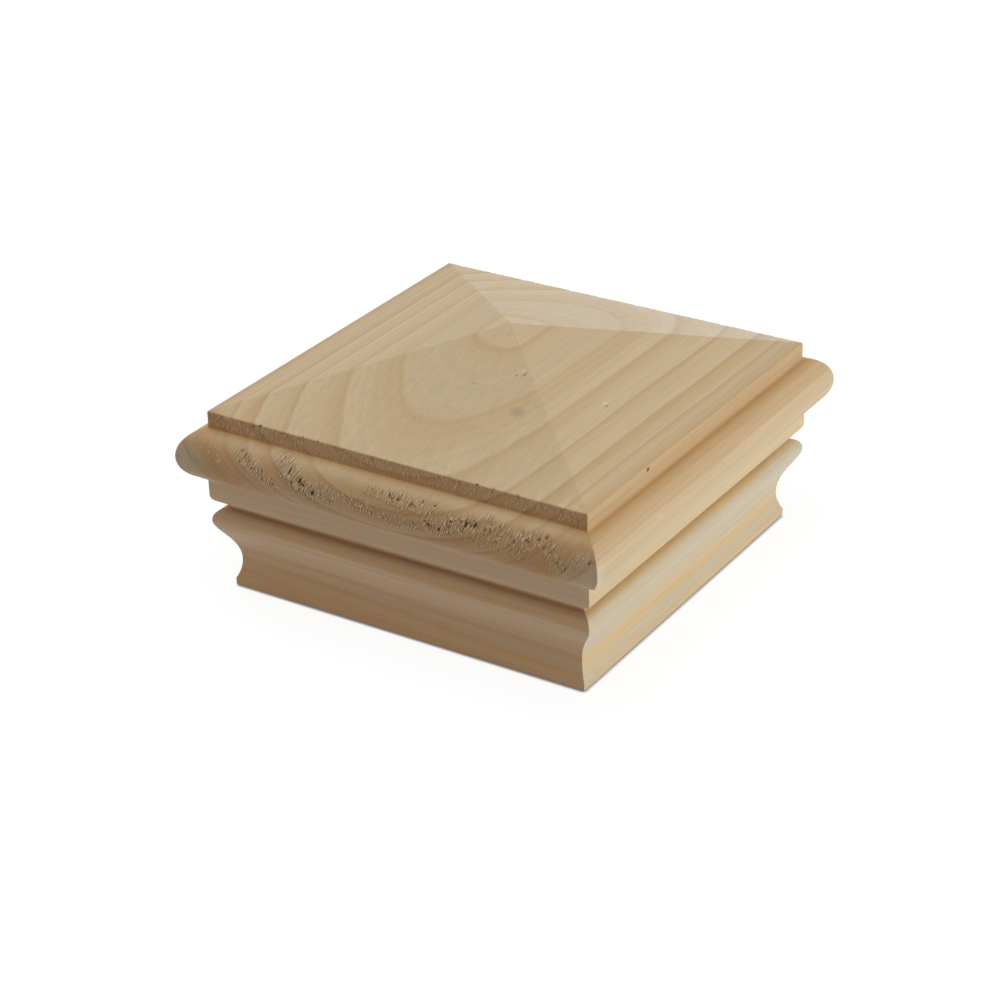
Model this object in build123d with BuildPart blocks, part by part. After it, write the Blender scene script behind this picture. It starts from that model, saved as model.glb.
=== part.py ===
from build123d import *
import os
from math import isclose

os.makedirs("parts", exist_ok=True)

# A low pyramid cap for a nominal 4 by 4 post: one milled block seated on a mitred frame of four
# lengths of moulding. Millimetres, +Z up, origin at the centre of the frame's foot. The block's
# grain runs along Y, so its -Y and +Y edges are end grain.

# Square socket for the post, and the moulding that walls it
socket_width = 92.1
moulding_height = 36.0
frieze_thickness = 17.45
frieze_height = 8.0
frieze_edge_radius = 2.8
groove_gap = 2.0
bead_thickness = 17.3
bead_radius = 3.5
bead_pull = 3.6
cove_thickness = 11.65
cove_height = 8.8
cove_pull = 6.8
foot_thickness = 13.3
foot_land_height = 2.5
foot_edge_radius = 0.8

# Block, milled from one planed board that overhangs the frame all round
block_overhang = 6.35
block_thickness = 38.1
edge_reach = 7.15
pyramid_rise = 16.8
step_height = 5.0
step_foot_radius = 0.7
eave_radius = 0.4

# Finishing brads, driven up through the moulding into the block, two to a side
brad_length = 50.0
brad_radius = 0.8
brad_head_radius = 1.4
brad_head_height = 0.9
brad_point_length = 2.4
brad_tip_radius = 0.2
brad_recess = 1.0
brad_inset = 6.0
brad_spacing = 70.0
brad_clearance = 0.05

# Widths and levels worked out from the sizes above
frame_width = socket_width + 2 * frieze_thickness
block_width = frame_width + 2 * block_overhang
pyramid_width = block_width - 2 * edge_reach
eave_level = moulding_height + block_thickness - pyramid_rise
edge_thickness = block_thickness - pyramid_rise - step_height
brad_ledge = brad_recess + brad_head_height
brad_top = brad_recess + brad_length

# Each side of the frame by the direction that it faces, turned about Z from +X
frame_sides = {
    "moulding_front": -90,
    "moulding_right": 0,
    "moulding_back": 90,
    "moulding_left": 180,
}
upright = (Align.CENTER, Align.CENTER, Align.MIN)


def step_corners():
    """The open sketch's corners on the step's two sides, in rows from the lowest up."""
    corners = vertices().filter_by(
        lambda corner: isclose(abs(corner.X), pyramid_width / 2, rel_tol=1e-6)
    )
    return corners.group_by(Axis.Y)


def block_section():
    """Across the block, drawn into the open sketch: half-round edge, step and low gable."""
    with Locations((0, moulding_height + edge_thickness / 2)):
        SlotOverall(block_width, edge_thickness)
        Rectangle(
            pyramid_width, edge_thickness / 2 + step_height, align=(Align.CENTER, Align.MIN)
        )
    with Locations((0, eave_level)):
        Polygon((-pyramid_width / 2, 0), (pyramid_width / 2, 0), (0, pyramid_rise), align=None)
    fillet(step_corners()[0], radius=step_foot_radius)
    fillet(step_corners()[-1], radius=eave_radius)


def moulding_section():
    """Across one length of moulding, drawn into the open sketch with its face towards +X."""
    back = socket_width / 2
    frieze_face = back + frieze_thickness
    frieze_bottom = moulding_height - frieze_height
    bead_nose = back + bead_thickness
    groove_wall = bead_nose - bead_radius
    bead_level = frieze_bottom - groove_gap - bead_radius
    cove_face = back + cove_thickness
    foot_face = back + foot_thickness
    with BuildLine() as outline:
        Polyline(
            (back, 0),
            (back, moulding_height),
            (frieze_face, moulding_height),
            (frieze_face, frieze_bottom),
            (groove_wall, frieze_bottom),
            (groove_wall, bead_level + bead_radius),
        )
        CenterArc((groove_wall, bead_level), bead_radius, start_angle=0, arc_size=90)
        Bezier(
            (bead_nose, bead_level),
            (bead_nose, bead_level - bead_pull),
            (cove_face, cove_height + cove_pull),
            (cove_face, cove_height),
        )
        TangentArc((cove_face, cove_height), (foot_face, foot_land_height), tangent=(0, -1))
        Polyline((foot_face, foot_land_height), (foot_face, 0), (back, 0))
    make_face(outline.edges())
    frieze_edge = vertices().sort_by_distance((frieze_face, frieze_bottom))[0]
    fillet(frieze_edge, radius=frieze_edge_radius)
    foot_edge = vertices().sort_by_distance((foot_face, 0))[0]
    fillet(foot_edge, radius=foot_edge_radius)


def brad_places(level):
    """Where the brads' axes cross a level, two on each side of the frame."""
    line = socket_width / 2 + brad_inset
    starts = [Vector(line, side * brad_spacing / 2, level) for side in (-1, 1)]
    return [start.rotate(Axis.Z, turn) for turn in frame_sides.values() for start in starts]


# The block: the same section milled both ways, so the edges meet in mitred corners
with BuildPart() as cap_block:
    with BuildSketch(Plane.XZ):
        block_section()
    extrude(amount=block_width / 2, both=True)
    with BuildSketch(Plane.YZ):
        block_section()
    extrude(amount=block_width / 2, both=True, mode=Mode.INTERSECT)
    with Locations(*brad_places(moulding_height)):
        Cylinder(
            brad_radius + brad_clearance,
            brad_top + brad_clearance - moulding_height,
            align=upright,
            mode=Mode.SUBTRACT,
        )
cap_block.part.label = "cap_block"
export_step(cap_block.part, "parts/cap_block.step")

# The frame: four lengths of one moulding, each mitred at both ends and bored for its brads
for side_name, turn in frame_sides.items():
    outward = Vector(1, 0, 0).rotate(Axis.Z, turn)
    along = Vector(0, -1, 0).rotate(Axis.Z, turn)
    with BuildPart() as side_moulding:
        with BuildSketch(Plane(origin=(0, 0, 0), x_dir=outward, z_dir=along)):
            moulding_section()
        extrude(amount=frame_width / 2, both=True)
        for end in (-1, 1):
            split(bisect_by=Plane(origin=(0, 0, 0), z_dir=outward + along * end), keep=Keep.TOP)
        with Locations(*brad_places(0)):
            Cylinder(
                brad_head_radius + brad_clearance, brad_ledge, align=upright, mode=Mode.SUBTRACT
            )
            Cylinder(
                brad_radius + brad_clearance, moulding_height, align=upright, mode=Mode.SUBTRACT
            )
    side_moulding.part.label = side_name
    export_step(side_moulding.part, f"parts/{side_name}.step")

# The brads: head, shank and point, each seated against the ledge of its counterbore
with BuildPart() as brads:
    with Locations(*brad_places(brad_recess)):
        Cylinder(brad_head_radius, brad_head_height, align=upright)
        Cylinder(brad_radius, brad_length - brad_point_length, align=upright)
    with Locations(*brad_places(brad_top - brad_point_length)):
        Cone(brad_radius, brad_tip_radius, brad_point_length, align=upright)
brads.part.label = "brads"
export_step(brads.part, "parts/brads.step")
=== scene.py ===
import math
import random

import bpy
from mathutils import Matrix, Vector, noise


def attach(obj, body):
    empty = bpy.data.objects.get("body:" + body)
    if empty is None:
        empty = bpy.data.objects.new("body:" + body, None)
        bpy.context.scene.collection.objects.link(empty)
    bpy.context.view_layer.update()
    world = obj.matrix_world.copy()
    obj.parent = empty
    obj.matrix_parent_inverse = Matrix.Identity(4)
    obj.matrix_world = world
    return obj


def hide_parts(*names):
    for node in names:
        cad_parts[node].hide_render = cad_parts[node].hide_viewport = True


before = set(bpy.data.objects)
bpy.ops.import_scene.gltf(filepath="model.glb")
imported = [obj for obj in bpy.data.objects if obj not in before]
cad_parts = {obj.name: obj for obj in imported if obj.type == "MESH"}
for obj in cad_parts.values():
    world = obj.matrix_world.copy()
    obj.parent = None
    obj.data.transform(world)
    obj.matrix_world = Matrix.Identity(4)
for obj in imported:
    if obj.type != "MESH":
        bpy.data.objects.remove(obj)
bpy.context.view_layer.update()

MM = 0.001

# Camera, from the edges of the photographed cap. Right and up shift the whole view.
VIEW_AZIMUTH = math.radians(32.891)
VIEW_ELEVATION = math.radians(27.621)
VIEW_ROLL = math.radians(-1.371)
VIEW_DISTANCE = 773.07 * MM
VIEW_RIGHT = -4.133 * MM
VIEW_UP = -35.778 * MM
VIEW_TARGET = Vector((0, 0, 57.3 * MM))
LENS = 96.009
SENSOR = 36

PLAIN = (1, 1, 1)
COOL = (0.72, 0.96, 1.25)
WARM = (1.02, 0.97, 0.86)

# Lamps: name, azimuth from +X towards +Y, elevation, distance, width, height, power, colour.
LAMPS = (
    ("lamp_right", 10, 3, 1.0, 0.80, 0.20, 5.02, PLAIN),
    ("lamp_top", 270, 80, 1.0, 0.80, 0.80, 4.5, PLAIN),
    ("lamp_back", 150, 40, 1.0, 0.80, 0.80, 1.75, WARM),
    ("lamp_behind", 95, 6, 1.0, 0.80, 0.28, 1.42, COOL),
)
LAMP_TARGET = Vector((0, 0, 0.04))
SKY_LIGHT = 0.19

# The floor, and the share and strength of the white glow that the camera and reflections see in it.
FLOOR_HALF = 3.0
FLOOR_WHITE = (0.85, 0.85, 0.85, 1)
FLOOR_GLOW = 0.80
FLOOR_SEEN = 1.13
# A painted contact shadow: close to the foot the glow falls to a lower strength, where less of the open lies
# above the floor.
# The open shares say where it is at its lowest, and where it begins to fall.
CONTACT_REACH = 1.3 * MM
CONTACT_SEEN = 0.25
CONTACT_OPEN = (0.35, 0.9)

# The block's section, in millimetres, as in the solid.
APEX_LEVEL = 74.1
EAVE_LEVEL = 57.3
EAVE_REACH = 62.7
EAVE_ROUND = 0.4
STEP_LEVEL = 52.3
STEP_ROUND = 0.7
NOSE_RADIUS = 8.15
NOSE_REACH = 61.7
NOSE_LEVEL = 44.15
UNDERSIDE = 36.0
CORNER_ROUND = 0.25
SLOPE = (APEX_LEVEL - EAVE_LEVEL) / EAVE_REACH

# How finely the block's mesh follows its faces, in millimetres. The end grain has the small detail.
END_COLUMNS = 380
BACK_COLUMNS = 250
SIDE_COLUMNS = 56
FINE_ROW = 0.38
COARSE_ROW = 2.8
ROW_GROWTH = 1.25
ROUND_STEPS = 4
CORNER_STEPS = 3
# A long-grain side has one more column near each corner, at this share of its half width.
EDGE_PLACE = 0.994
# A corner's rounding takes no more than this share of the half width.
CORNER_SHARE = 0.3
# Degrees of the rounded edge's arc that the rounded foot of the step takes.
FOOT_ARC = 7
# The rows on the underside, as distances in from the centre of the rounded edge.
UNDERSIDE_INSETS = (1, 4, 16, 32, 48, 60)

# Torn end grain of a side, in patches: x, level, half length, half height, lean, strength and
# number of pits.
FRONT_TEARS = (
    (-55.0, 47.2, 5.5, 2.4, -0.4, 0.4, 0), (-41.5, 46.9, 8.0, 2.4, -0.42, 1.0, 12),
    (-27.5, 47.2, 8.5, 3.2, -0.45, 1.0, 14), (-17.5, 45.6, 4.2, 3.0, 0.0, 0.9, 5),
    (-6.0, 45.2, 7.5, 2.2, -0.14, 1.0, 3), (-1.5, 49.6, 4.2, 1.2, 0.0, 0.8, 3),
    (10.5, 49.3, 10.0, 2.0, 0.0, 1.0, 16), (6.5, 43.6, 9.0, 1.9, 0.0, 1.0, 5),
    (20.0, 45.4, 5.5, 2.2, 0.0, 1.0, 11), (25.5, 47.2, 3.8, 2.6, 0.0, 1.0, 7),
    (29.5, 48.0, 3.8, 2.3, 0.1, 1.0, 8), (34.5, 49.0, 3.6, 2.2, 0.0, 1.0, 6),
    (42.0, 47.4, 6.4, 2.8, -0.25, 1.0, 9), (50.5, 49.0, 6.4, 1.8, 0.0, 1.0, 6),
    (56.5, 45.4, 4.5, 2.6, -0.4, 0.75, 4), (34.0, 45.3, 7.0, 2.0, 0.0, 0.7, 4),
    (43.0, 44.2, 6.0, 1.8, 0.0, 0.6, 3), (64.5, 46.5, 3.5, 2.6, 0.0, 0.5, 2),
)
BACK_TEARS = (
    (-48.0, 47.0, 7.0, 2.2, 0.3, 0.7, 6), (-31.0, 48.3, 6.0, 1.8, 0.1, 0.9, 8),
    (-14.0, 46.5, 5.0, 2.0, 0.2, 0.6, 4), (3.0, 48.5, 8.0, 1.8, 0.0, 0.8, 6),
    (21.0, 47.0, 5.0, 2.2, -0.2, 1.0, 9), (38.0, 48.0, 6.0, 2.0, -0.3, 0.7, 5),
    (55.0, 46.5, 5.0, 2.0, -0.4, 0.5, 3),
)
# The deepest pits of the front side: x, level, half width, half height and depth.
FRONT_PITS = (
    (-30.2, 48.9, 0.30, 1.00, 0.8), (-26.3, 47.2, 0.42, 0.90, 0.9), (-24.8, 46.4, 0.38, 0.50, 0.6),
    (-21.8, 44.8, 0.55, 0.80, 0.9), (3.2, 49.6, 0.32, 0.60, 0.35), (6.3, 49.3, 0.24, 0.50, 0.3),
    (10.1, 48.9, 0.20, 1.00, 0.35), (16.9, 45.1, 0.34, 0.50, 0.7), (20.2, 44.8, 0.40, 0.65, 0.8),
    (28.4, 47.9, 0.34, 0.80, 0.8), (31.2, 48.4, 0.34, 0.95, 0.9), (27.8, 46.1, 0.22, 0.40, 0.6),
    (53.0, 50.0, 0.20, 0.60, 0.5),
)
# Fine checks of the front side: as the pits, and how much each leans.
FRONT_CHECKS = (
    (59.4, 43.0, 0.26, 2.0, 0.25, 0.78), (67.3, 47.2, 0.26, 1.4, 0.25, 0.63),
    (47.0, 42.9, 0.24, 1.2, 0.15, 1.30), (39.3, 42.3, 0.24, 1.6, 0.12, 1.18),
    (62.8, 44.6, 0.22, 0.8, 0.15, 0.60), (-62.6, 45.5, 0.24, 2.4, 0.05, -1.16),
)
# Where the larger chips of each eave lie, along X.
FRONT_CHIPS = (-43.7, -29.5, -24, 28, 33.7, 40.8)
BACK_CHIPS = (-35, 6, 31)
# Seeds of a side's pits, of its nicks and of its noise.
FRONT_SEEDS = (3, 4, 1.7)
BACK_SEEDS = (5, 6, 8.3)

# Small pits are drawn in each patch: how far from its centre, as shares of its size, and then their
# half width, half height and depth.
PIT_ALONG = (-0.8, 0.8)
PIT_RISE = (-0.6, 0.6)
PIT_WIDTH = (0.16, 0.28)
PIT_HEIGHT = (0.25, 0.6)
PIT_DEPTH = (0.1, 0.4)
# A pit's wall runs between these shares of its size. Pits are painted darker as painted shade, a deep pit
# more so.
PIT_WALL = (0.4, 1.4)
PIT_SHADE = 0.5
PIT_FAR = 4

# Nicks are drawn along the whole eave, and chips near the places above: half width and depth.
NICK_COUNT = 110
NICK_PLACES = (-61, 61)
NICK_WIDTH = (0.25, 0.7)
NICK_DEPTH = (0.06, 0.24)
CHIP_SHIFT = (-0.3, 0.3)
CHIP_WIDTH = (0.45, 0.8)
CHIP_DEPTH = (0.35, 0.55)
# A nick is flat over this share of its width, dies out over this many depths, and is painted so dark with
# painted shade.
NICK_FLAT = 0.3
NICK_FADE = 1.8
NICK_SHADE = 1.4
NICK_DARKEST = 0.6

# Fuzz is how much fibre stands up, from 0 to 1: between the patches, and evenly over the step.
FUZZ_LEAST = 0.14
FUZZ_STEP = 0.28
FUZZ_STEP_MORE = 0.27
FUZZ_STEP_LEVELS = (52.4, 53.6)
# A patch fades out between these shares of its size, and noise thins its fuzz to this share.
PATCH_EDGE = (0.7, 1.4)
PATCH_THIN = 0.6
PATCH_NOISE = 0.25
STEP_NOISE = 0.35
# The noise follows the rings: its fineness across them and along them.
RING_NOISE = 0.9
RAY_NOISE = 12
# Torn wood ripples this much, and dark strokes comb the step below the eave. A shift sets the noise of
# each apart from the fuzz's.
RIPPLE_DEPTH = 0.14
RIPPLE_NOISE = (1.5, 0.5)
RIPPLE_SHIFT = 5
COMB_DARK = 0.42
COMB_NOISE = (1.5, 0.3)
COMB_SHIFT = 9
COMB_EDGE = (0.05, 0.35)
COMB_LEVELS = (53.6, 56.4)

# Where the end grain may be torn: rows at least so far out, whose tears fade out near the corners
# and stop just below the eave. Nicks reach down to a little above the step's foot.
TORN_INSET = 4
TORN_LOWEST = 0.01
CORNER_FADE = (1.2, 0.3)
EAVE_PLAIN = 0.25
NICK_LOWEST = 0.8

# The block's growth rings: circles round a pith that runs along Y, above the top. Each pair is a
# radius in millimetres and how much latewood shows there.
PITH_X = 1.0
PITH_Z = 110.0
RING_LOW = 36.0
RING_HIGH = 106.0
BLOCK_RINGS = (
    (36, 0.20), (38.4, 0.16), (38.9, 0.62), (40.5, 0.34), (44, 0.22), (47.1, 0.20), (47.9, 0.52),
    (50.5, 0.42), (53, 0.14), (55.2, 0.05), (55.8, 0.60), (58, 0.36), (61, 0.12), (63.2, 0.04),
    (63.8, 0.58), (66, 0.34), (70.4, 0.03), (70.9, 0.85), (73.5, 0.55), (75.4, 0.05), (76, 0.50),
    (79, 0.22), (80.2, 0.70), (84.5, 0.80), (86, 0.98), (87.2, 0.95), (88.2, 0.74), (90.8, 0.66),
    (92.5, 0.24), (97, 0.02), (98, 0.50), (101, 0.2),
)
# Thin dark lines where a ring ends: radius and strength. They rise within one width and fade over
# the other, and show more where the fibres end.
RING_LINES = (
    (38.9, 0.45), (47.8, 0.5), (55.8, 0.6), (63.8, 0.7), (70.9, 0.9), (76.0, 0.6), (78.6, 0.7),
    (80.9, 0.8), (87.6, 0.6), (91.4, 1.0),
)
LINE_RISE = 0.25
LINE_FADE = 1.0
LINE_SHARE = 0.45
LINE_END_SHARE = 0.35
# Faint rings between: how many to the millimetre, and the tones that they run through.
FINE_RINGS = 1.1
FINE_RING_TONE = (0.965, 1.035)
# The greyer wood near the pith: radii over which it begins and ends.
HEART_BEGINS = (38.5, 43.5)
HEART_ENDS = (44.5, 49.0)

# The mouldings' latewood: height on the stick and how much shows there.
RIGHT_BANDS = (
    (0, 0.34), (2.2, 0.45), (3.4, 0.28), (5.2, 0.30), (6.6, 0.70), (8.2, 0.80), (9.2, 0.36),
    (10.2, 0.30), (11.2, 0.22), (14, 0.10), (21.3, 0.02), (22.2, 0.06), (22.8, 0.36), (23.5, 0.12),
    (24.5, 0.16), (25.4, 0.62), (28, 0.62), (29.8, 0.64), (30.8, 0.48), (32, 0.42), (36, 0.46),
)
FRONT_BANDS = (
    (0, 0.80), (2.6, 0.90), (3.8, 0.65), (5.2, 0.55), (6.8, 0.90), (7.8, 0.45), (10, 0.40),
    (11.2, 0.75), (12.2, 0.40), (14, 0.15), (19.5, 0.08), (20.8, 0.45), (21.5, 0.18), (22.1, 0.66),
    (23.2, 0.80), (24.4, 0.66), (25.3, 0.40), (27.2, 0.36), (29.4, 0.36), (30.4, 0.06), (33, 0.04),
    (33.8, 0.26), (34.6, 0.06), (36, 0.1),
)
BANDS_TOP = 40.0
# Bands climb along the stick low down, and no more from the second of these heights up.
CLIMB_ENDS = (6.0, 20.0)
# Streaks of more and less latewood within the bands.
STREAK_SHARE = (-0.22, 0.22)

# Fineness of the noises to the millimetre: across the fibres, along them and up.
SLOW_WANDER = (0.030, 0.010, 0.030)
QUICK_WANDER = (0.22, 0.018, 0.22)
FINE_FIBRES = (2.6, 0.05, 2.6)
BROAD_FIBRES = (0.55, 0.012, 0.55)
BAND_STREAKS = (0.9, 0.012, 0.9)
PORES = (1.9, 0.8, 1.5)
# Most of a noise lies between these values, round this middle.
NOISE_LOW = 0.3
NOISE_HIGH = 0.7
NOISE_MIDDLE = (0.5, 0.5, 0.5)
# How far rings and bands wander, in millimetres, slowly and quickly.
BLOCK_WANDER = (2.2, 0.6)
MOULDING_WANDER = (2.6, 0.7)

# Tones and roughness that the fibres run through, how much rougher end grain is, and how deep the
# fibres and the pores are.
FINE_TONE = (0.935, 1.065)
BROAD_TONE = (-0.04, 0.04)
PINE_ROUGH = (0.50, 0.62)
END_ROUGH = 0.15
LATE_RELIEF = 0.5
FIBRE_DEPTH = 0.03 * MM
PORE_DEPTH = 0.25 * MM
PINE_GLOSS = 0.45
# A face shows end grain between these shares of its normal along the fibres. Slanted fibres are
# a little paler.
END_SEEN = (0.35, 0.92)
SLANT_SEEN = (0.12, 0.26)
SLANT_PALE = 0.03
# Painted shade in the hollow where the rounded edge meets the step, a tint that stands in for the shade
# there: the levels over which it begins and ends, and the half widths over which it ends.
PAINTED_CREASE_SHADE = (0.90, 0.80, 0.64, 1)
HOLLOW_BEGINS = (49.5, 51.0)
HOLLOW_ENDS = (52.3, 53.4)
HOLLOW_REACH = (63.0, 66.8)

PINE_EARLY = (0.66, 0.506, 0.305, 1)
PINE_LATE = (0.56, 0.362, 0.168, 1)
PINE_LINE = (0.46, 0.285, 0.125, 1)
PINE_GREY = (0.64, 0.507, 0.323, 1)
PINE_END = (0.815, 0.655, 0.54, 1)
# A painted shadow beside each torn tuft, and a painted highlight on the tuft.
PAINTED_TUFT_SHADOW = (0.16, 0.074, 0.024, 1)
PAINTED_TUFT_HIGHLIGHT = (0.92, 0.70, 0.43, 1)
# Painted shade in pits and nicks. This colour also colours the dark comb strokes.
PAINTED_SHADE_AND_COMB = (0.11, 0.042, 0.008, 1)
CREAM_EARLY = (0.655, 0.57, 0.43, 1)
CREAM_LATE = (0.76, 0.52, 0.21, 1)
ROSE_EARLY = (0.67, 0.475, 0.305, 1)
ROSE_LATE = (0.60, 0.35, 0.152, 1)

# Torn fibres stand in short strokes that lean this much to the side for each millimetre up, with a painted
# shadow this far beside them.
STROKE_LEAN = 0.35
STROKE_FINE = (2.1, 0.30, 0.72)
STROKE_SHADE = 0.25
# Where a tuft's painted highlight and its painted shadow begin and are full on their noise, where a pit's
# painted shade does on the mesh's value, and how strong each one is.
TUFT_EDGE = (0.50, 0.60)
SHADOW_EDGE = (0.46, 0.57)
PIT_EDGE = (0.25, 0.60)
TUFT_SHARE = 0.90
SHADOW_SHARE = 0.80
PIT_SHARE = 0.86
TUFT_DEPTH = 0.6 * MM

# Marks on the block: centre, half size (both in millimetres), tint and strength. A tint multiplies.
MARKS = (
    ((63.8, -71.0, 42.8), (9.0, 7.0, 8.0), (1.02, 1.28, 1.72, 1), 0.9),
    ((-65.5, -70.0, 44.0), (7.5, 7.5, 7.5), (0.94, 1.24, 1.70, 1), 0.75),
    ((-38.0, -71.0, 44.0), (32.0, 9.0, 11.0), (1.09, 1.19, 1.40, 1), 0.75),
    ((23.2, -33.3, 65.2), (2.4, 2.4, 2.0), (0.74, 0.76, 0.80, 1), 0.8),
    ((15.0, -17.2, 69.5), (0.7, 1.1, 1.0), (1.22, 1.22, 1.22, 1), 0.9),
    ((16.3, -18.6, 69.1), (0.4, 1.2, 1.0), (0.48, 0.42, 0.36, 1), 0.9),
    ((14.2, -19.6, 68.8), (0.35, 0.8, 1.0), (0.55, 0.50, 0.44, 1), 0.9),
    ((39.3, -13.4, 63.5), (0.6, 1.0, 1.0), (1.22, 1.22, 1.22, 1), 0.9),
    ((40.3, -14.3, 63.3), (0.35, 0.8, 1.0), (0.50, 0.44, 0.38, 1), 0.9),
    ((5.0, -26.6, 67.0), (1.7, 0.45, 1.0), (0.72, 0.70, 0.66, 1), 0.8),
    ((62.7, -30.6, 56.4), (1.6, 0.85, 0.75), (0.10, 0.07, 0.05, 1), 1.0),
    ((69.4, -35.9, 46.7), (1.0, 1.1, 0.5), (1.18, 1.10, 1.02, 1), 0.8),
    ((0.0, -70.5, 36.5), (75.0, 9.0, 6.5), (1.02, 1.12, 1.36, 1), 0.85),
    ((57.5, -61.6, 57.7), (4.5, 1.2, 1.5), (1.12, 1.10, 1.08, 1), 0.7),
)
MARK_EDGE = (0.35, 1.25)

STEEL_DARK = (0.42, 0.41, 0.40, 1)
STEEL_LIGHT = (0.55, 0.54, 0.52, 1)
STEEL_WEAR = 1.4
STEEL_EDGE = (0.35, 0.65)
STEEL_ROUGH = (0.28, 0.48)
STEEL_DEPTH = 0.02 * MM

# Where in the noises the block's wood is taken from.
BLOCK_SEED = 11.0
# The lengths of moulding: node, material, direction of the fibres, seed, earlywood, latewood, bands,
# and how much the low bands climb for each millimetre along.
MOULDINGS = (
    ("moulding_right", "right_pine", "Y", 23.0, CREAM_EARLY, CREAM_LATE, RIGHT_BANDS, 0.01),
    ("moulding_front", "front_pine", "X", 37.0, ROSE_EARLY, ROSE_LATE, FRONT_BANDS, 0.045),
    ("moulding_left", "left_pine", "Y", 51.0, CREAM_EARLY, ROSE_LATE, FRONT_BANDS, -0.015),
    ("moulding_back", "back_pine", "X", 67.0, CREAM_EARLY, CREAM_LATE, RIGHT_BANDS, 0.01),
)


class Graph:
    """One material's nodes, with short calls for the kinds that this scene uses."""

    def __init__(self, name):
        self.material = bpy.data.materials.new(name)
        self.material.use_nodes = True
        self.tree = self.material.node_tree
        self.tree.nodes.clear()

    def put(self, socket, value):
        """Links a socket to another node's output, or sets its value."""
        if isinstance(value, bpy.types.NodeSocket):
            self.tree.links.new(value, socket)
        else:
            socket.default_value = value

    def place(self):
        """The place on the object in millimetres."""
        node = self.tree.nodes.new("ShaderNodeTexCoord")
        return self.vector("SCALE", node.outputs["Object"], scale=1 / MM)

    def math(self, operation, *values, clamp=False):
        node = self.tree.nodes.new("ShaderNodeMath")
        node.operation = operation
        node.use_clamp = clamp
        for socket, value in zip(node.inputs, values):
            self.put(socket, value)
        return node.outputs[0]

    def vector(self, operation, first, second=None, scale=None):
        node = self.tree.nodes.new("ShaderNodeVectorMath")
        node.operation = operation
        self.put(node.inputs[0], first)
        if second is not None:
            self.put(node.inputs[1], second)
        if scale is not None:
            self.put(node.inputs["Scale"], scale)
        return node.outputs["Value" if operation == "LENGTH" else "Vector"]

    def split(self, vector):
        node = self.tree.nodes.new("ShaderNodeSeparateXYZ")
        self.put(node.inputs[0], vector)
        return node.outputs[0], node.outputs[1], node.outputs[2]

    def join(self, x, y, z):
        node = self.tree.nodes.new("ShaderNodeCombineXYZ")
        for socket, value in zip(node.inputs, (x, y, z)):
            self.put(socket, value)
        return node.outputs[0]

    def noise(self, vector, detail=2.0, roughness=0.5, scale=1.0, colour=False):
        node = self.tree.nodes.new("ShaderNodeTexNoise")
        self.put(node.inputs["Vector"], vector)
        self.put(node.inputs["Scale"], scale)
        self.put(node.inputs["Detail"], detail)
        self.put(node.inputs["Roughness"], roughness)
        return node.outputs["Color" if colour else "Fac"]

    def spread(self, value, low, high, to_low=0.0, to_high=1.0, smooth=True):
        """Carries the values from low to high over to another span, and holds them at its ends."""
        node = self.tree.nodes.new("ShaderNodeMapRange")
        node.interpolation_type = "SMOOTHSTEP" if smooth else "LINEAR"
        for socket, given in zip(node.inputs, (value, low, high, to_low, to_high)):
            self.put(socket, given)
        return node.outputs[0]

    def vary(self, noise_value, to_low, to_high, smooth=False):
        """Carries a noise over to a span of its own."""
        return self.spread(noise_value, NOISE_LOW, NOISE_HIGH, to_low, to_high, smooth)

    def fade(self, value, low, high):
        """1 up to the low value, and 0 from the high one."""
        return self.spread(value, low, high, 1.0, 0.0)

    def between(self, value, begins, ends):
        """1 between two pairs of values, beginning over the first and ending over the second."""
        return self.math("MULTIPLY", self.spread(value, *begins), self.fade(value, *ends))

    def mix(self, amount, first, second, blend="MIX"):
        node = self.tree.nodes.new("ShaderNodeMix")
        node.data_type = "RGBA"
        node.blend_type = blend
        self.put(node.inputs["Factor"], amount)
        self.put(node.inputs[6], first)
        self.put(node.inputs[7], second)
        return node.outputs[2]

    def tinted(self, amount, colour, tint):
        """A colour, multiplied by a tint as far as the amount says."""
        return self.mix(amount, colour, self.mix(1.0, colour, tint, "MULTIPLY"))

    def ramp(self, value, stops):
        """A value read off a line through at most 32 (place, level) stops."""
        node = self.tree.nodes.new("ShaderNodeValToRGB")
        elements = node.color_ramp.elements
        while len(elements) > 1:
            elements.remove(elements[-1])
        for index, (place, level) in enumerate(stops):
            element = elements[0] if index == 0 else elements.new(place)
            element.position = place
            element.color = (level, level, level, 1)
        self.put(node.inputs[0], value)
        return node.outputs[0]

    def bump(self, height, distance, normal=None):
        node = self.tree.nodes.new("ShaderNodeBump")
        self.put(node.inputs["Height"], height)
        self.put(node.inputs["Distance"], distance)
        self.put(node.inputs["Strength"], 1.0)
        if normal is not None:
            self.put(node.inputs["Normal"], normal)
        return node.outputs[0]

    def surface(self, colour, roughness, normal, **constants):
        """Ends the material in a Principled shader. The constants go on its own sockets."""
        shader = self.tree.nodes.new("ShaderNodeBsdfPrincipled")
        self.put(shader.inputs["Base Color"], colour)
        self.put(shader.inputs["Roughness"], roughness)
        self.put(shader.inputs["Normal"], normal)
        for name, value in constants.items():
            self.put(shader.inputs[name.replace("_", " ")], value)
        return self.finished(shader)

    def finished(self, shader):
        """The material, with this shader as its surface."""
        output = self.tree.nodes.new("ShaderNodeOutputMaterial")
        self.tree.links.new(shader.outputs[0], output.inputs[0])
        return self.material


def grain_space(graph, along):
    """The place in millimetres as (across, along the fibres, up)."""
    x, y, z = graph.split(graph.place())
    return graph.join(y, x, z) if along == "X" else graph.join(x, y, z)


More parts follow.
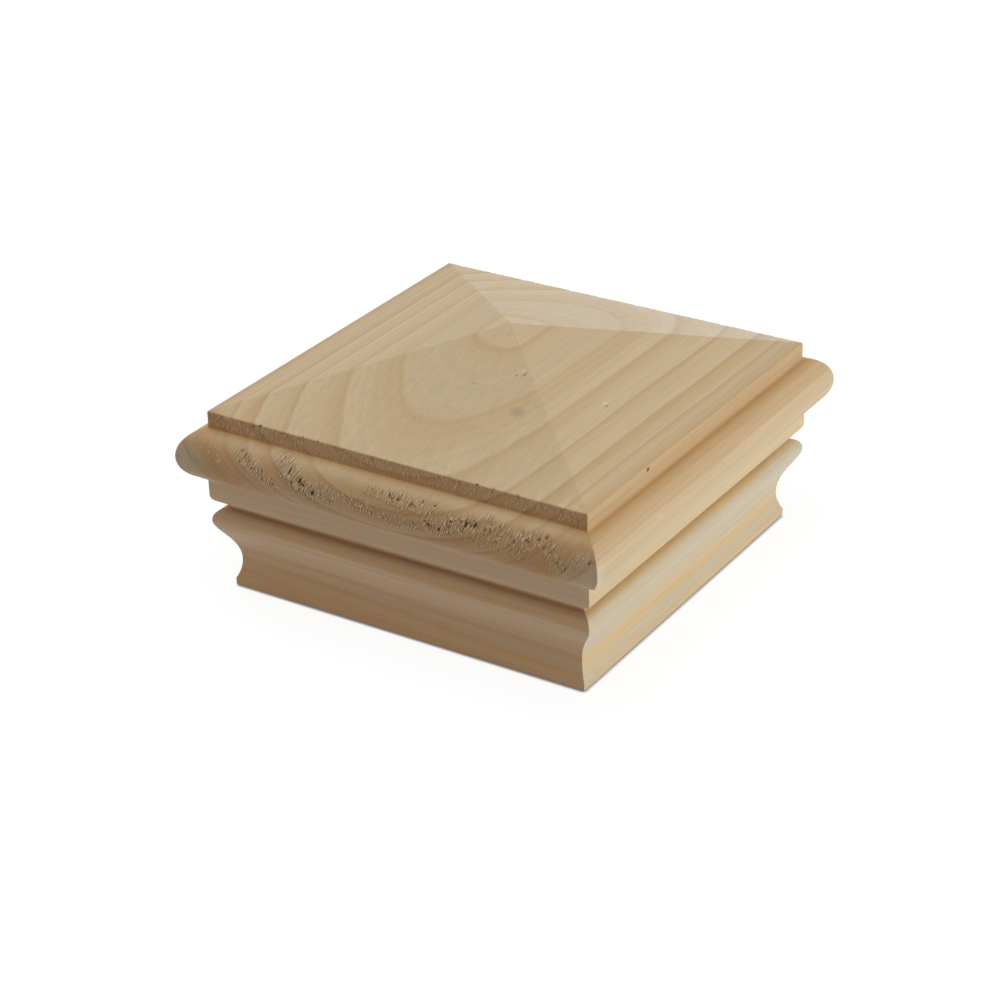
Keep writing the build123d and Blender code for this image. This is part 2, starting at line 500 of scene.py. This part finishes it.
def fibre_mask(graph, along, low, high):
    """1 where the fibres end at the surface, 0 where they lie in it."""
    normal = graph.tree.nodes.new("ShaderNodeNewGeometry").outputs["Normal"]
    x, y, _ = graph.split(normal)
    return graph.spread(graph.math("ABSOLUTE", x if along == "X" else y), low, high)


def mesh_value(graph, name):
    """A value that the mesh keeps at each of its points."""
    node = graph.tree.nodes.new("ShaderNodeAttribute")
    node.attribute_name = name
    return node.outputs["Fac"]


def wander(graph, grain, seed, slow_reach, quick_reach):
    """The grain place, shifted a little so that rings are never quite round or straight."""
    moved = graph.vector("ADD", grain, (seed, 2 * seed, 3 * seed))
    slow = graph.noise(graph.vector("MULTIPLY", moved, SLOW_WANDER), colour=True)
    quick = graph.noise(graph.vector("MULTIPLY", moved, QUICK_WANDER), colour=True)
    shift = graph.vector("SCALE", graph.vector("SUBTRACT", slow, NOISE_MIDDLE), scale=slow_reach)
    jitter = graph.vector("SCALE", graph.vector("SUBTRACT", quick, NOISE_MIDDLE), scale=quick_reach)
    return graph.vector("ADD", grain, graph.vector("ADD", shift, jitter))


def fibres(graph, grain, seed):
    """Fine streaks along the grain, which are dots where the fibres end."""
    moved = graph.vector("ADD", grain, (seed, seed, seed))
    fine = graph.noise(graph.vector("MULTIPLY", moved, FINE_FIBRES), detail=3.0, roughness=0.6)
    broad = graph.noise(graph.vector("MULTIPLY", moved, BROAD_FIBRES))
    return fine, broad


def finish_pine(graph, grain, along, seed, colour, latewood, torn=False):
    """Adds fibres, end grain, roughness and relief to a pine colour, and tears where the mesh says so."""
    fine, broad = fibres(graph, grain, seed)
    tone = graph.math("ADD", graph.vary(fine, *FINE_TONE), graph.vary(broad, *BROAD_TONE))
    colour = graph.vector("SCALE", colour, scale=tone)
    end = fibre_mask(graph, along, *END_SEEN)
    colour = graph.tinted(end, colour, PINE_END)
    rough = graph.vary(fine, *PINE_ROUGH, smooth=True)
    rough = graph.math("ADD", rough, graph.math("MULTIPLY", end, END_ROUGH))
    relief = graph.math("ADD", fine, graph.math("MULTIPLY", latewood, LATE_RELIEF))
    normal = graph.bump(relief, FIBRE_DEPTH)
    pores = graph.noise(graph.vector("MULTIPLY", grain, PORES), detail=3.0, roughness=0.65)
    normal = graph.bump(graph.math("MULTIPLY", pores, end), PORE_DEPTH, normal)
    if torn:
        colour, normal, shade_and_comb = torn_grain(graph, grain, colour, normal)
        rough = graph.math("MAXIMUM", rough, shade_and_comb)
    return graph.surface(colour, rough, normal, Specular_IOR_Level=PINE_GLOSS)


def torn_grain(graph, grain, colour, normal):
    """Torn end grain: tufts of fibre with a painted highlight, each with a painted shadow at its right, and
    pits with painted shade.
    """
    # The mesh's 'torn' value is painted shade in pits and nicks, together with the dark comb strokes.
    shade_and_comb = graph.spread(mesh_value(graph, "torn"), *PIT_EDGE)
    fuzz = mesh_value(graph, "fuzz")
    x, y, z = graph.split(grain)
    lean = graph.math("SUBTRACT", x, graph.math("MULTIPLY", z, STROKE_LEAN))
    strokes = []
    for across in (lean, graph.math("SUBTRACT", lean, STROKE_SHADE)):
        place = graph.vector("MULTIPLY", graph.join(across, y, z), STROKE_FINE)
        strokes.append(graph.noise(place, roughness=0.65))
    tufts, shade = strokes
    painted_highlight = graph.math("MULTIPLY", fuzz, graph.spread(tufts, *TUFT_EDGE))
    painted_shadow = graph.math("MULTIPLY", fuzz, graph.spread(shade, *SHADOW_EDGE))
    # A painted shadow beside each tuft, then a painted highlight on it.
    colour = graph.mix(graph.math("MULTIPLY", painted_shadow, SHADOW_SHARE), colour, PAINTED_TUFT_SHADOW)
    colour = graph.mix(graph.math("MULTIPLY", painted_highlight, TUFT_SHARE), colour, PAINTED_TUFT_HIGHLIGHT)
    # Painted shade in the pits and nicks.
    colour = graph.mix(graph.math("MULTIPLY", shade_and_comb, PIT_SHARE), colour, PAINTED_SHADE_AND_COMB)
    normal = graph.bump(graph.math("MULTIPLY", tufts, fuzz), TUFT_DEPTH, normal)
    return colour, normal, graph.math("MAXIMUM", shade_and_comb, painted_shadow)


def marked(graph, grain, colour):
    """Adds the block's marks: stains, flecks and small dark dots at their places."""
    for centre, size, tint, strength in MARKS:
        arm = graph.vector("DIVIDE", graph.vector("SUBTRACT", grain, centre), size)
        near = graph.spread(graph.vector("LENGTH", arm), *MARK_EDGE, strength, 0.0)
        colour = graph.tinted(near, colour, tint)
    return colour


def painted_crease_shade(graph, grain):
    """Where painted shade darkens the hollow: 1 at the step's foot, fading out over the top of the rounded
    edge.
    """
    x, y, up = graph.split(grain)
    reach = graph.math("MAXIMUM", graph.math("ABSOLUTE", x), graph.math("ABSOLUTE", y))
    level = graph.between(up, HOLLOW_BEGINS, HOLLOW_ENDS)
    return graph.math("MULTIPLY", level, graph.fade(reach, *HOLLOW_REACH))


def ring_ramp(graph, radius, rings):
    """The level at a radius, from (radius, level) pairs."""
    share = graph.spread(radius, RING_LOW, RING_HIGH, smooth=False)
    return graph.ramp(share, [((place - RING_LOW) / (RING_HIGH - RING_LOW), level) for place, level in rings])


def block_pine(name, seed):
    """Pine cut from a board with its pith above it, so that the rings show as curves on the top."""
    graph = Graph(name)
    grain = grain_space(graph, "Y")
    across, _, up = graph.split(wander(graph, grain, seed, *BLOCK_WANDER))
    arm = graph.join(graph.math("SUBTRACT", across, PITH_X), 0.0, graph.math("SUBTRACT", up, PITH_Z))
    radius = graph.vector("LENGTH", arm)
    latewood = ring_ramp(graph, radius, BLOCK_RINGS)
    lines = []
    for place, level in RING_LINES:
        lines += [(place - LINE_RISE, 0.0), (place, level), (place + LINE_FADE, 0.0)]
    line = ring_ramp(graph, radius, lines)
    fine_rings = graph.noise(graph.join(graph.math("MULTIPLY", radius, FINE_RINGS), 0.0, 0.0))
    heart = graph.between(radius, HEART_BEGINS, HEART_ENDS)
    early = graph.mix(heart, PINE_EARLY, PINE_GREY)
    colour = graph.mix(latewood, early, PINE_LATE)
    end_share = graph.math("MULTIPLY", fibre_mask(graph, "Y", *END_SEEN), LINE_END_SHARE)
    line_share = graph.math("ADD", LINE_SHARE, end_share)
    colour = graph.mix(graph.math("MULTIPLY", line, line_share), colour, PINE_LINE)
    colour = graph.vector("SCALE", colour, scale=graph.vary(fine_rings, *FINE_RING_TONE))
    slanted = graph.math("MULTIPLY", fibre_mask(graph, "Y", *SLANT_SEEN), SLANT_PALE)
    colour = graph.vector("SCALE", colour, scale=graph.math("ADD", 1.0, slanted))
    # Painted shade in the hollow at the step's foot, a tint that stands in for the shade there.
    colour = graph.tinted(painted_crease_shade(graph, grain), colour, PAINTED_CREASE_SHADE)
    colour = marked(graph, grain, colour)
    return finish_pine(graph, grain, "Y", seed, colour, latewood, torn=True)


def moulding_pine(name, along, seed, early, late, bands, climb):
    """Pine whose rings lie almost level, so that the latewood runs along the stick in bands."""
    graph = Graph(name)
    grain = grain_space(graph, along)
    across, run, up = graph.split(wander(graph, grain, seed, *MOULDING_WANDER))
    low_down = graph.fade(up, *CLIMB_ENDS)
    rise = graph.math("MULTIPLY", graph.math("MULTIPLY", run, climb), low_down)
    share = graph.math("DIVIDE", graph.math("ADD", up, rise), BANDS_TOP)
    latewood = graph.ramp(share, [(place / BANDS_TOP, level) for place, level in bands])
    streaks = graph.noise(graph.vector("MULTIPLY", grain, BAND_STREAKS), detail=3.0, roughness=0.6)
    latewood = graph.math("ADD", latewood, graph.vary(streaks, *STREAK_SHARE), clamp=True)
    colour = graph.mix(latewood, early, late)
    return finish_pine(graph, grain, along, seed, colour, latewood)


def steel(name):
    """Bright drawn wire."""
    graph = Graph(name)
    wear = graph.noise(graph.place(), detail=3.0, roughness=0.6, scale=STEEL_WEAR)
    colour = graph.mix(graph.spread(wear, *STEEL_EDGE), STEEL_DARK, STEEL_LIGHT)
    rough = graph.vary(wear, *STEEL_ROUGH, smooth=True)
    return graph.surface(colour, rough, graph.bump(wear, STEEL_DEPTH), Metallic=1.0)


def floor_white(name):
    """Plain white: a soft shadow to the object's own light, and white to the camera and reflections, which
    dims to a painted contact shadow close to the foot.
    """
    graph = Graph(name)
    shader = graph.tree.nodes.new("ShaderNodeBsdfDiffuse")
    shader.inputs["Color"].default_value = FLOOR_WHITE
    painted_contact_shadow = graph.tree.nodes.new("ShaderNodeAmbientOcclusion")
    painted_contact_shadow.inputs["Distance"].default_value = CONTACT_REACH
    glow = graph.tree.nodes.new("ShaderNodeEmission")
    # A painted contact shadow: the glow dims where the floor is occluded close to the foot.
    strength = graph.spread(painted_contact_shadow.outputs["AO"], *CONTACT_OPEN, CONTACT_SEEN, FLOOR_SEEN, smooth=False)
    graph.put(glow.inputs["Strength"], strength)
    path = graph.tree.nodes.new("ShaderNodeLightPath")
    seen = graph.math("MAXIMUM", path.outputs["Is Camera Ray"], path.outputs["Is Glossy Ray"])
    blend = graph.tree.nodes.new("ShaderNodeMixShader")
    graph.put(blend.inputs[0], graph.math("MULTIPLY", seen, FLOOR_GLOW))
    graph.put(blend.inputs[1], shader.outputs[0])
    graph.put(blend.inputs[2], glow.outputs[0])
    return graph.finished(blend)


def rounded(corners):
    """The points of an open line of (reach, height, radius) corners, with each corner rounded."""
    points = []
    for index, (reach, height, radius) in enumerate(corners):
        corner = Vector((reach, height))
        if not radius:
            points.append(corner)
            continue
        before = (Vector(corners[index - 1][:2]) - corner).normalized()
        after = (Vector(corners[index + 1][:2]) - corner).normalized()
        half = before.angle(after) / 2
        centre = corner + (before + after).normalized() * radius / math.sin(half)
        start = corner + before * radius / math.tan(half) - centre
        end = corner + after * radius / math.tan(half) - centre
        for step in range(ROUND_STEPS + 1):
            points.append(centre + radius * start.slerp(end, step / ROUND_STEPS))
    return points


def nose_arc():
    """The rounded edge from just below the step's foot to the underside, as sharp corners."""
    lift = math.degrees(math.acos((EAVE_REACH - NOSE_REACH) / NOSE_RADIUS)) - FOOT_ARC
    steps = int(math.radians(lift + 90) * NOSE_RADIUS / FINE_ROW)
    arc = []
    for step in range(steps + 1):
        turn = math.radians(lift - step * (lift + 90) / steps)
        reach = NOSE_REACH + NOSE_RADIUS * math.cos(turn)
        arc.append((reach, NOSE_LEVEL + NOSE_RADIUS * math.sin(turn), 0))
    return arc


def block_section():
    """The block's half section from just below the apex to the underside, as (reach, height) rows."""
    foot_level = NOSE_LEVEL + math.sqrt(NOSE_RADIUS ** 2 - (EAVE_REACH - NOSE_REACH) ** 2)
    apex = (0, APEX_LEVEL, 0)
    eave = (EAVE_REACH, EAVE_LEVEL, EAVE_ROUND)
    foot = (EAVE_REACH, foot_level, STEP_ROUND)
    line = rounded([apex, eave, foot] + nose_arc())
    wall = 1 + ROUND_STEPS
    points = []
    gap = FINE_ROW
    reach = line[1].x
    while reach > COARSE_ROW / 2:
        points.append(Vector((reach, APEX_LEVEL - SLOPE * reach)))
        reach -= gap
        gap = min(gap * ROW_GROWTH, COARSE_ROW)
    points.reverse()
    points += line[2:wall + 1]
    count = round((line[wall].y - line[wall + 1].y) / FINE_ROW)
    for step in range(1, count):
        points.append(line[wall].lerp(line[wall + 1], step / count))
    points += line[wall + 1:]
    points += [Vector((NOSE_REACH - inset, UNDERSIDE)) for inset in UNDERSIDE_INSETS]
    return points


def outward(points):
    """Each row's outward direction in the section's plane."""
    directions = []
    for index in range(len(points)):
        before = points[max(index - 1, 0)]
        after = points[min(index + 1, len(points) - 1)]
        run = (after - before).normalized()
        directions.append(Vector((-run.y, run.x)))
    return directions


def square_loop(reach, columns):
    """Points round a square of this half width, a side at a time, with its corners a little rounded."""
    corner = min(CORNER_ROUND, CORNER_SHARE * reach)
    flat = reach - corner
    loop = []
    for side, count in enumerate(columns):
        turn = Matrix.Rotation(side * math.pi / 2, 2)
        places = [-1 + 2 * step / count for step in range(count + 1)]
        if count == SIDE_COLUMNS:
            places[1:1] = [-EDGE_PLACE]
            places[-1:-1] = [EDGE_PLACE]
        loop += [(turn @ Vector((flat * place, -reach)), side) for place in places]
        for step in range(1, CORNER_STEPS):
            angle = math.pi / 2 * step / CORNER_STEPS
            bend = Vector((flat + corner * math.sin(angle), -flat - corner * math.cos(angle)))
            loop.append((turn @ bend, side))
    return loop


def tear_pits(tears, known, checks, seed):
    """Where the pits of one side lie: (along, level, half width, half height, depth, lean)."""
    draw = random.Random(seed)
    pits = list(checks) + [pit + (STROKE_LEAN,) for pit in known]
    for along, level, long, tall, lean, _, count in tears:
        for _ in range(count):
            step = draw.uniform(*PIT_ALONG) * long
            rise = draw.uniform(*PIT_RISE) * tall + lean * step
            size = (draw.uniform(*PIT_WIDTH), draw.uniform(*PIT_HEIGHT), draw.uniform(*PIT_DEPTH))
            pits.append((along + step, level + rise, *size, STROKE_LEAN))
    return pits


def eave_nicks(chips, seed):
    """Small chips along an eave of end grain: (along, half width, depth)."""
    draw = random.Random(seed)
    nicks = []
    for _ in range(NICK_COUNT):
        nicks.append((draw.uniform(*NICK_PLACES), draw.uniform(*NICK_WIDTH), draw.uniform(*NICK_DEPTH)))
    for place in chips:
        shifted = place + draw.uniform(*CHIP_SHIFT)
        nicks.append((shifted, draw.uniform(*CHIP_WIDTH), draw.uniform(*CHIP_DEPTH)))
    return nicks


def torn_sides():
    """The sides of end grain, numbered as in square_loop, each with what torn_point takes.

    That is its patches, pits and nicks, the seed of its noise, and -1 or 1 for the way it faces along Y.
    """
    pit_seed, nick_seed, noise_seed = FRONT_SEEDS
    front_pits = tear_pits(FRONT_TEARS, FRONT_PITS, FRONT_CHECKS, pit_seed)
    front = (FRONT_TEARS, front_pits, eave_nicks(FRONT_CHIPS, nick_seed), noise_seed, -1)
    pit_seed, nick_seed, noise_seed = BACK_SEEDS
    back_pits = tear_pits(BACK_TEARS, (), (), pit_seed)
    back = (BACK_TEARS, back_pits, eave_nicks(BACK_CHIPS, nick_seed), noise_seed, 1)
    return {0: front, 2: back}


def smoothstep(value, low, high):
    """0 up to the low value, 1 from the high one, and a smooth rise between."""
    share = min(max((value - low) / (high - low), 0), 1)
    return share * share * (3 - 2 * share)


def fuzz_at(along, level, tears, seed):
    """How much fibre stands up at a place of the rounded edge or the step."""
    fuzz = FUZZ_LEAST
    for centre, height, long, tall, lean, strength, _ in tears:
        step = along - centre
        if abs(step) < PATCH_EDGE[1] * long:
            away = math.hypot(step / long, (level - height - lean * step) / tall)
            fuzz = max(fuzz, strength * (1 - smoothstep(away, *PATCH_EDGE)))
    arm = Vector((along - PITH_X, PITH_Z - level))
    rough = noise.noise(Vector((arm.length * RING_NOISE, math.atan2(arm.x, arm.y) * RAY_NOISE, seed)))
    fuzz *= PATCH_THIN + (1 - PATCH_THIN) * smoothstep(rough, -PATCH_NOISE, PATCH_NOISE)
    even = FUZZ_STEP + FUZZ_STEP_MORE * smoothstep(rough, -STEP_NOISE, STEP_NOISE)
    return max(fuzz, smoothstep(level, *FUZZ_STEP_LEVELS) * even)


def tear(along, level, tears, pits, seed):
    """How deep the end grain is torn at a place, how dark it is from comb strokes and from painted shade in
    pits, and how fuzzy.
    """
    fuzz = fuzz_at(along, level, tears, seed)
    comb = noise.noise(Vector((along * COMB_NOISE[0], level * COMB_NOISE[1], seed + COMB_SHIFT)))
    slant = along - STROKE_LEAN * level
    ripple = noise.noise(Vector((slant * RIPPLE_NOISE[0], level * RIPPLE_NOISE[1], seed + RIPPLE_SHIFT)))
    depth = RIPPLE_DEPTH * fuzz * ripple
    dark = COMB_DARK * smoothstep(comb, *COMB_EDGE) * smoothstep(level, *COMB_LEVELS)
    for centre, height, wide, tall, deep, lean in pits:
        if abs(along - centre) < PIT_FAR and abs(level - height) < PIT_WALL[1] * tall:
            side = (along - centre) - lean * (level - height)
            hole = 1 - smoothstep(math.hypot(side / wide, (level - height) / tall), *PIT_WALL)
            depth += deep * hole
            # Painted shade in the pit, darker for a deeper pit.
            dark = max(dark, hole * min(1, PIT_SHADE + deep))
    return depth, dark, fuzz


def torn_point(place, row, normal, side):
    """A point of the mesh on an end-grain side, torn, with how dark it is from comb strokes and from painted
    shade in pits and nicks, and how fuzzy.
    """
    patches, pits, nicks, seed, facing = side
    point = Vector((place.x, place.y, row.y))
    dark = fuzz = 0.0
    flush = 1 - smoothstep(abs(place.x), row.x - CORNER_FADE[0], row.x - CORNER_FADE[1])
    if row.y < EAVE_LEVEL - EAVE_PLAIN:
        depth, dark, fuzz = (flush * value for value in tear(place.x, row.y, patches, pits, seed))
        point -= Vector((0, facing * normal.x, normal.y)) * depth
    if row.y > STEP_LEVEL + NICK_LOWEST:
        fall = max(EAVE_LEVEL - row.y, 0) + max(EAVE_REACH - EAVE_ROUND - row.x, 0)
        for centre, wide, deep in nicks:
            away = abs(place.x - centre)
            if away < wide:
                notch = (1 - smoothstep(away, NICK_FLAT * wide, wide)) * flush
                cut = deep * notch * math.exp(-fall / (NICK_FADE * deep))
                point.y -= facing * cut
                if row.y < EAVE_LEVEL:
                    # Painted shade in the nick, darker for a deeper cut.
                    dark = max(dark, min(NICK_DARKEST, NICK_SHADE * cut))
    return point, dark, fuzz


def block_points(rows, columns):
    """The mesh's points from the apex down, each with how dark it is from comb strokes and painted shade, and
    how fuzzy it is.
    """
    sides = torn_sides()
    points = [(Vector((0, 0, APEX_LEVEL)), 0.0, 0.0)]
    for row, normal in zip(rows, outward(rows)):
        outer = row.x > EAVE_REACH - TORN_INSET and row.y > UNDERSIDE + TORN_LOWEST
        for place, side in square_loop(row.x, columns):
            if outer and side in sides:
                points.append(torn_point(place, row, normal, sides[side]))
            else:
                points.append((Vector((place.x, place.y, row.y)), 0.0, 0.0))
    points.append((Vector((0, 0, UNDERSIDE)), 0.0, 0.0))
    return points


def loop_faces(rows, loop):
    """A fan at the apex, a band of faces from each row to the next, and a fan on the underside."""
    faces = [(0, 1 + place, 1 + (place + 1) % loop) for place in range(loop)]
    for row in range(rows - 1):
        first = 1 + row * loop
        second = first + loop
        for place in range(loop):
            after = (place + 1) % loop
            faces.append((first + place, second + place, second + after, first + after))
    last = 1 + (rows - 1) * loop
    faces += [(last + (place + 1) % loop, last + place, last + loop) for place in range(loop)]
    return faces


def cut_block(name, material):
    """The block as a fine mesh: rows down its section, each a loop round it, with its end grain torn."""
    rows = block_section()
    columns = (END_COLUMNS, SIDE_COLUMNS, BACK_COLUMNS, SIDE_COLUMNS)
    points, darkness, fuzziness = zip(*block_points(rows, columns))
    loop = len(square_loop(1, columns))
    mesh = bpy.data.meshes.new(name)
    mesh.from_pydata([tuple(point * MM) for point in points], [], loop_faces(len(rows), loop))
    mesh.polygons.foreach_set("use_smooth", [True] * len(mesh.polygons))
    # The 'torn' value holds the painted shade of pits and nicks, together with the dark comb strokes.
    mesh.attributes.new("torn", "FLOAT", "POINT").data.foreach_set("value", darkness)
    mesh.attributes.new("fuzz", "FLOAT", "POINT").data.foreach_set("value", fuzziness)
    mesh.materials.append(material)
    mesh.update()
    return link(bpy.data.objects.new(name, mesh))


def dress(node, material):
    """Gives a CAD node its material."""
    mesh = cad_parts[node].data
    mesh.materials.clear()
    mesh.materials.append(material)


def link(thing):
    """Puts a new object into the scene."""
    bpy.context.scene.collection.objects.link(thing)
    return thing


def add_floor():
    """The plain floor that the cap stands on."""
    mesh = bpy.data.meshes.new("floor")
    half = FLOOR_HALF
    corners = [(-half, -half, 0), (half, -half, 0), (half, half, 0), (-half, half, 0)]
    mesh.from_pydata(corners, [], [(0, 1, 2, 3)])
    mesh.materials.append(floor_white("floor_white"))
    link(bpy.data.objects.new("floor", mesh))


def add_lamps():
    """Soft rectangular lamps, all facing the middle of the cap."""
    for name, azimuth, elevation, distance, width, height, power, colour in LAMPS:
        lamp = bpy.data.lights.new(name, "AREA")
        lamp.color = colour
        lamp.shape = "RECTANGLE"
        lamp.size = width
        lamp.size_y = height
        lamp.energy = power
        turn = math.radians(azimuth)
        lift = math.radians(elevation)
        toward = Vector((math.cos(turn) * math.cos(lift), math.sin(turn) * math.cos(lift), math.sin(lift)))
        holder = link(bpy.data.objects.new(name, lamp))
        holder.location = LAMP_TARGET + distance * toward
        holder.rotation_mode = "QUATERNION"
        holder.rotation_quaternion = toward.to_track_quat("Z", "Y")


def add_sky():
    """Even light from all round, and plain white where the camera or a reflection looks past the floor."""
    world = bpy.data.worlds.new("sky")
    bpy.context.scene.world = world
    world.use_nodes = True
    tree = world.node_tree
    path = tree.nodes.new("ShaderNodeLightPath")
    seen = tree.nodes.new("ShaderNodeMath")
    seen.operation = "MAXIMUM"
    tree.links.new(path.outputs["Is Camera Ray"], seen.inputs[0])
    tree.links.new(path.outputs["Is Glossy Ray"], seen.inputs[1])
    level = tree.nodes.new("ShaderNodeMapRange")
    level.inputs["To Min"].default_value = SKY_LIGHT
    level.inputs["To Max"].default_value = 1.0
    tree.links.new(seen.outputs[0], level.inputs["Value"])
    background = tree.nodes["Background"]
    background.inputs["Color"].default_value = (1, 1, 1, 1)
    tree.links.new(level.outputs[0], background.inputs["Strength"])


def add_camera():
    """The photograph's view: the camera looks along -back, rolled a little."""
    back = Vector((math.sin(VIEW_AZIMUTH) * math.cos(VIEW_ELEVATION),
                   -math.cos(VIEW_AZIMUTH) * math.cos(VIEW_ELEVATION),
                   math.sin(VIEW_ELEVATION)))
    level = Vector((math.cos(VIEW_AZIMUTH), math.sin(VIEW_AZIMUTH), 0))
    upright = back.cross(level)
    right = math.cos(VIEW_ROLL) * level + math.sin(VIEW_ROLL) * upright
    up = math.cos(VIEW_ROLL) * upright - math.sin(VIEW_ROLL) * level
    lens = bpy.data.cameras.new("camera")
    lens.lens = LENS
    lens.sensor_width = SENSOR
    camera = link(bpy.data.objects.new("camera", lens))
    turned = Matrix((right, up, back)).transposed().to_4x4()
    turned.translation = VIEW_TARGET + VIEW_RIGHT * level + VIEW_UP * upright + VIEW_DISTANCE * back
    camera.matrix_world = turned
    bpy.context.scene.camera = camera


block = cut_block("cap_block_cut", block_pine("block_pine", BLOCK_SEED))
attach(block, "root")
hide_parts("cap_block")
for node, *look in MOULDINGS:
    dress(node, moulding_pine(*look))
dress("brads", steel("brad_steel_bright"))
add_floor()
add_lamps()
add_sky()
add_camera()
bpy.context.scene.view_settings.view_transform = "Standard"
